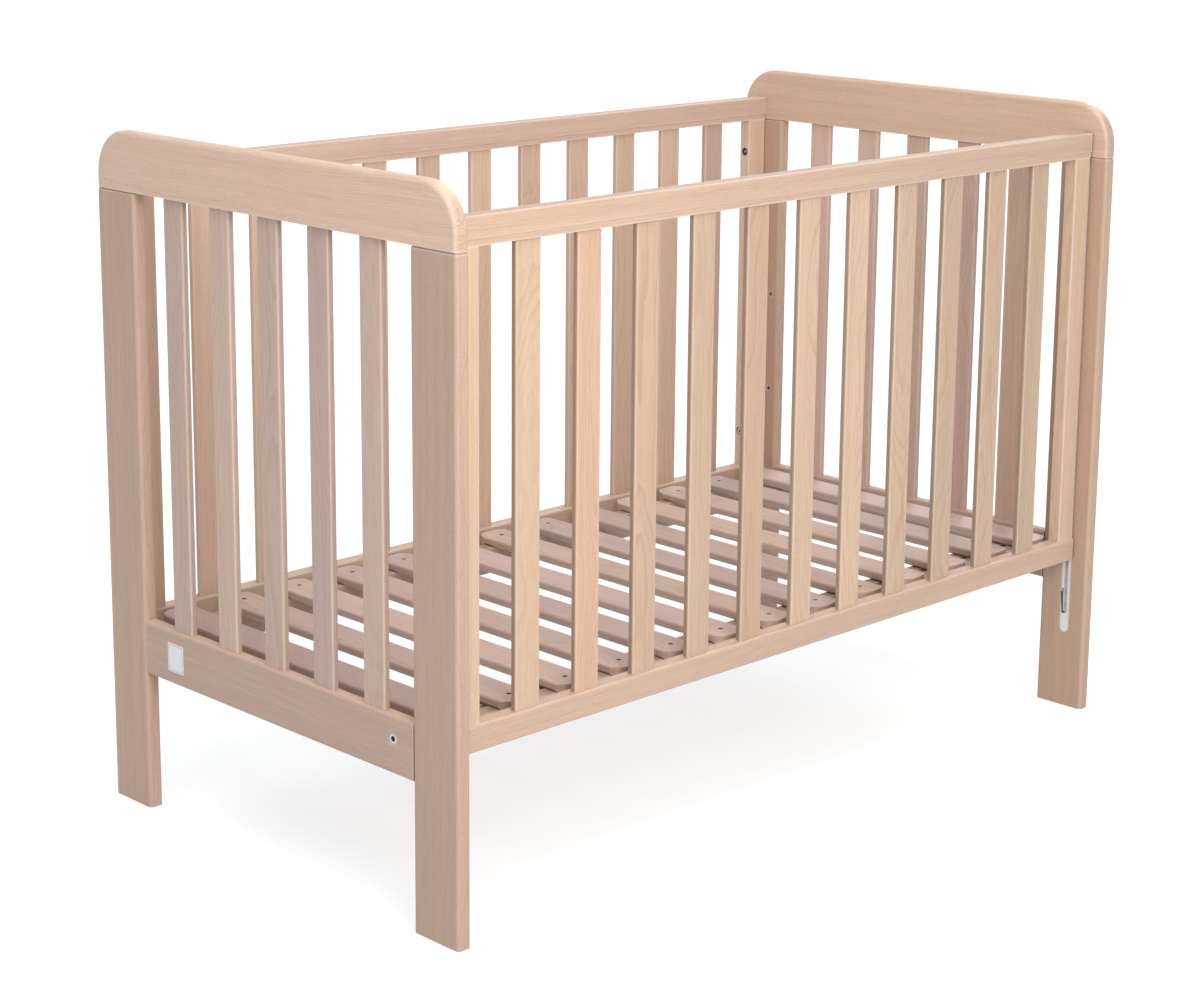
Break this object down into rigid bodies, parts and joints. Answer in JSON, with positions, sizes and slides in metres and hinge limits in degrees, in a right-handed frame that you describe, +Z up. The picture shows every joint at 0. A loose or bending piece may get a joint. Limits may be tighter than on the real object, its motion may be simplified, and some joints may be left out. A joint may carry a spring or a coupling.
{
  "type": "baby crib",
  "caption": "Slatted beech crib with round-shouldered end panels, a fixed back, a front side that slides down in tracks, and a slatted mattress base.",
  "frame": {"origin": "on the floor, under the middle of the crib", "axes": "+X along the length towards the right end panel, +Y from the drop side towards the fixed back, +Z up"},
  "size_m": [1.24, 0.692, 0.894],
  "materials": {
    "beech": "satin lacquered beech, pinkish tan",
    "beech_pale": "satin lacquered beech, pale",
    "beech_dark": "planed beech, darker and pinker",
    "zinc_plated_steel": "bright zinc plate",
    "dark_spring_steel": "blackened spring steel",
    "white_nylon": "natural white nylon",
    "label": "plain white label with a thin grey border, no text"
  },
  "bodies": {
    "crib_frame": {"left_front_post": "beech", "left_back_post": "beech", "right_front_post": "beech", "right_back_post": "beech", "left_top_rail": "beech", "right_top_rail": "beech", "left_bottom_rail": "beech", "right_bottom_rail": "beech", "left_end_slats": "beech", "right_end_slats": "beech", "end_panel_dowels": "beech_pale", "back_top_rail": "beech_pale", "back_bottom_rail": "beech_pale", "back_left_stile": "beech", "back_right_stile": "beech", "back_slats": "beech", "back_panel_bolts": "zinc_plated_steel", "back_panel_inserts": "zinc_plated_steel", "left_track": "zinc_plated_steel", "right_track": "zinc_plated_steel", "left_track_end_stops": "white_nylon", "right_track_end_stops": "white_nylon", "left_catch_rivet": "zinc_plated_steel", "right_catch_rivet": "zinc_plated_steel", "base_front_rail": "beech", "base_back_rail": "beech", "base_slats": "beech_dark", "base_slat_screws": "dark_spring_steel", "base_corner_brackets": "zinc_plated_steel", "base_bracket_screws": "zinc_plated_steel", "base_level_bolts": "zinc_plated_steel", "mattress_level_inserts": "zinc_plated_steel", "tie_rail": "beech_dark", "tie_rail_bolts": "zinc_plated_steel", "tie_rail_barrel_nuts": "zinc_plated_steel", "label_plate": "label"},
    "drop_side": {"drop_side_top_rail": "beech_pale", "drop_side_bottom_rail": "beech_pale", "drop_side_left_stile": "beech", "drop_side_right_stile": "beech", "drop_side_slats": "beech", "drop_side_guide_pins": "zinc_plated_steel", "drop_side_guide_shoes": "white_nylon"},
    "left_catch": {"left_catch_lever": "dark_spring_steel"},
    "right_catch": {"right_catch_lever": "dark_spring_steel"}
  },
  "joints": [
    {"name": "drop_side_slide", "type": "slide", "parent": "crib_frame", "child": "drop_side", "axis": [0, 0, -1], "range_m": [0, 0.094]},
    {"name": "left_catch_swing", "type": "hinge", "parent": "crib_frame", "child": "left_catch", "pos_m": [-0.5991, -0.3055, 0.176], "axis": [1, 0, 0], "range_deg": [0, 10], "stiffness_Nm_per_rad": 0.01},
    {"name": "right_catch_swing", "type": "hinge", "parent": "crib_frame", "child": "right_catch", "pos_m": [0.5991, -0.3055, 0.176], "axis": [1, 0, 0], "range_deg": [0, 10], "stiffness_Nm_per_rad": 0.01}
  ]
}
